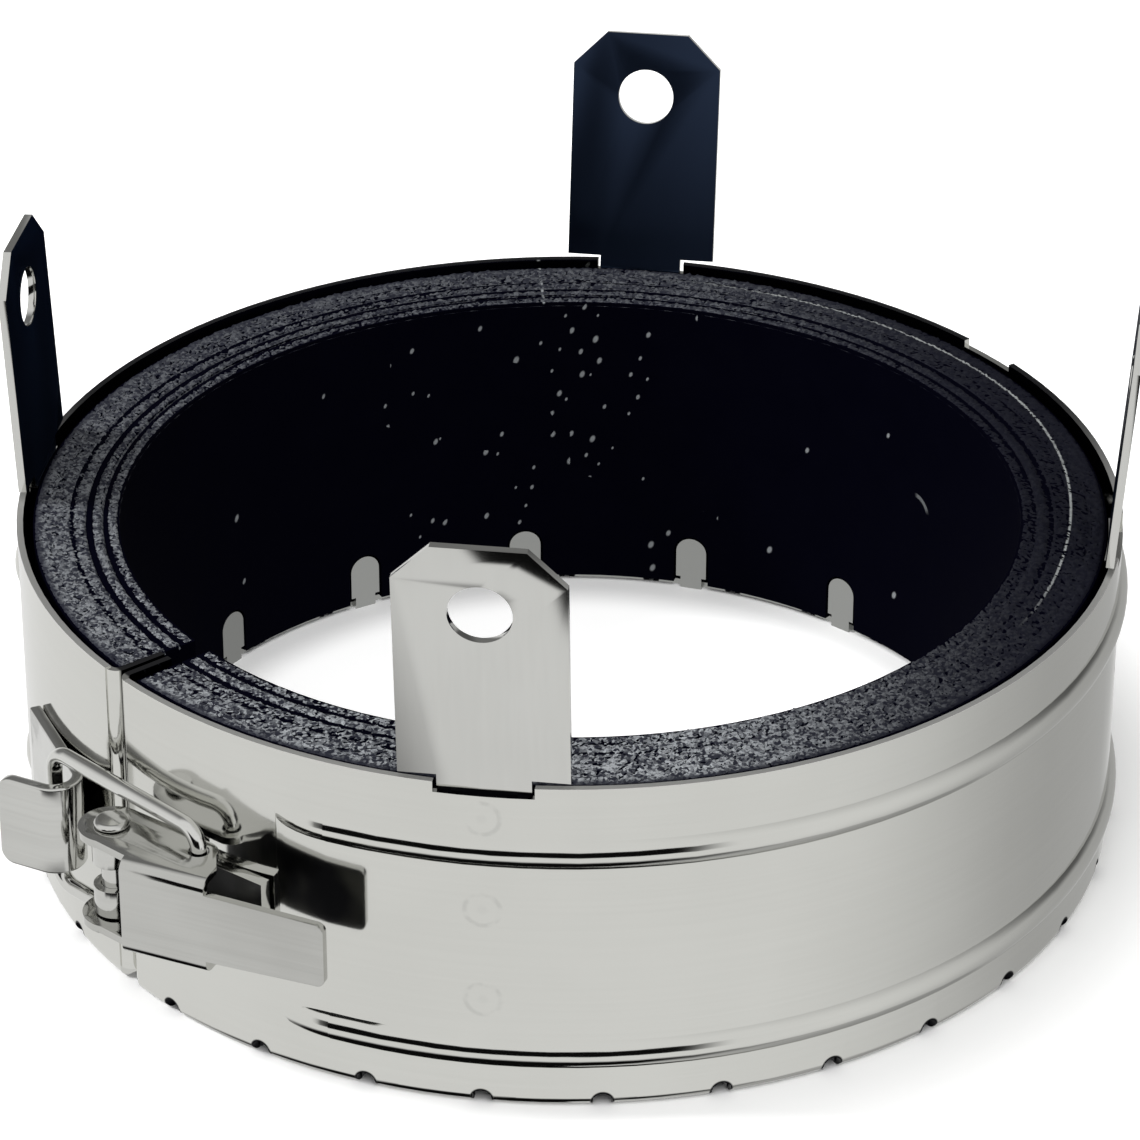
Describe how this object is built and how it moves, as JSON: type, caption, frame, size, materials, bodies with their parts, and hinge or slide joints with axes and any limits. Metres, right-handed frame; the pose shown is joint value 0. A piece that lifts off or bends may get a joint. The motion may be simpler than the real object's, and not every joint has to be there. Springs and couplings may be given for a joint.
{
  "type": "pipe fire collar",
  "caption": "Open stainless steel band with a wound intumescent liner, bendable fixing lugs and a toggle latch, closing round a plastic pipe to seal it in a fire.",
  "frame": {"origin": "on the pipe axis, at the liner's seat on the folded petals", "axes": "+Z along the pipe axis towards the lugs, -Y to the front with the latch on its left"},
  "size_m": [0.1414, 0.1468, 0.076],
  "materials": {
    "band_steel": "bright rolled stainless sheet",
    "lug_steel": "satin stainless sheet",
    "latch_steel": "pressed stainless sheet",
    "wire_steel": "drawn stainless wire",
    "liner": "graphite-filled strip with a sparkling cut edge"
  },
  "bodies": {
    "band": {"outer_band": "band_steel", "intumescent_liner": "liner", "lug_front": "lug_steel", "lug_right": "lug_steel", "lug_back": "lug_steel", "lug_left": "lug_steel", "keeper_hook": "latch_steel", "latch_base": "latch_steel", "pivot_rivet": "latch_steel"},
    "lever": {"latch_lever": "latch_steel"},
    "bail": {"wire_bail": "wire_steel"}
  },
  "joints": [
    {"name": "lever_swing", "type": "hinge", "parent": "band", "child": "lever", "pos_m": [-0.05403, -0.05203, 0.0212], "axis": [0, 0, -1], "range_deg": [0, 100]},
    {"name": "bail_swing", "type": "hinge", "parent": "lever", "child": "bail", "pos_m": [-0.04338, -0.05791, 0.0212], "axis": [0, 0, 1], "range_deg": [0, 65]}
  ],
  "couplings": [
    {"joint": "bail_swing", "follows": "lever_swing", "ratio": 0.59}
  ]
}
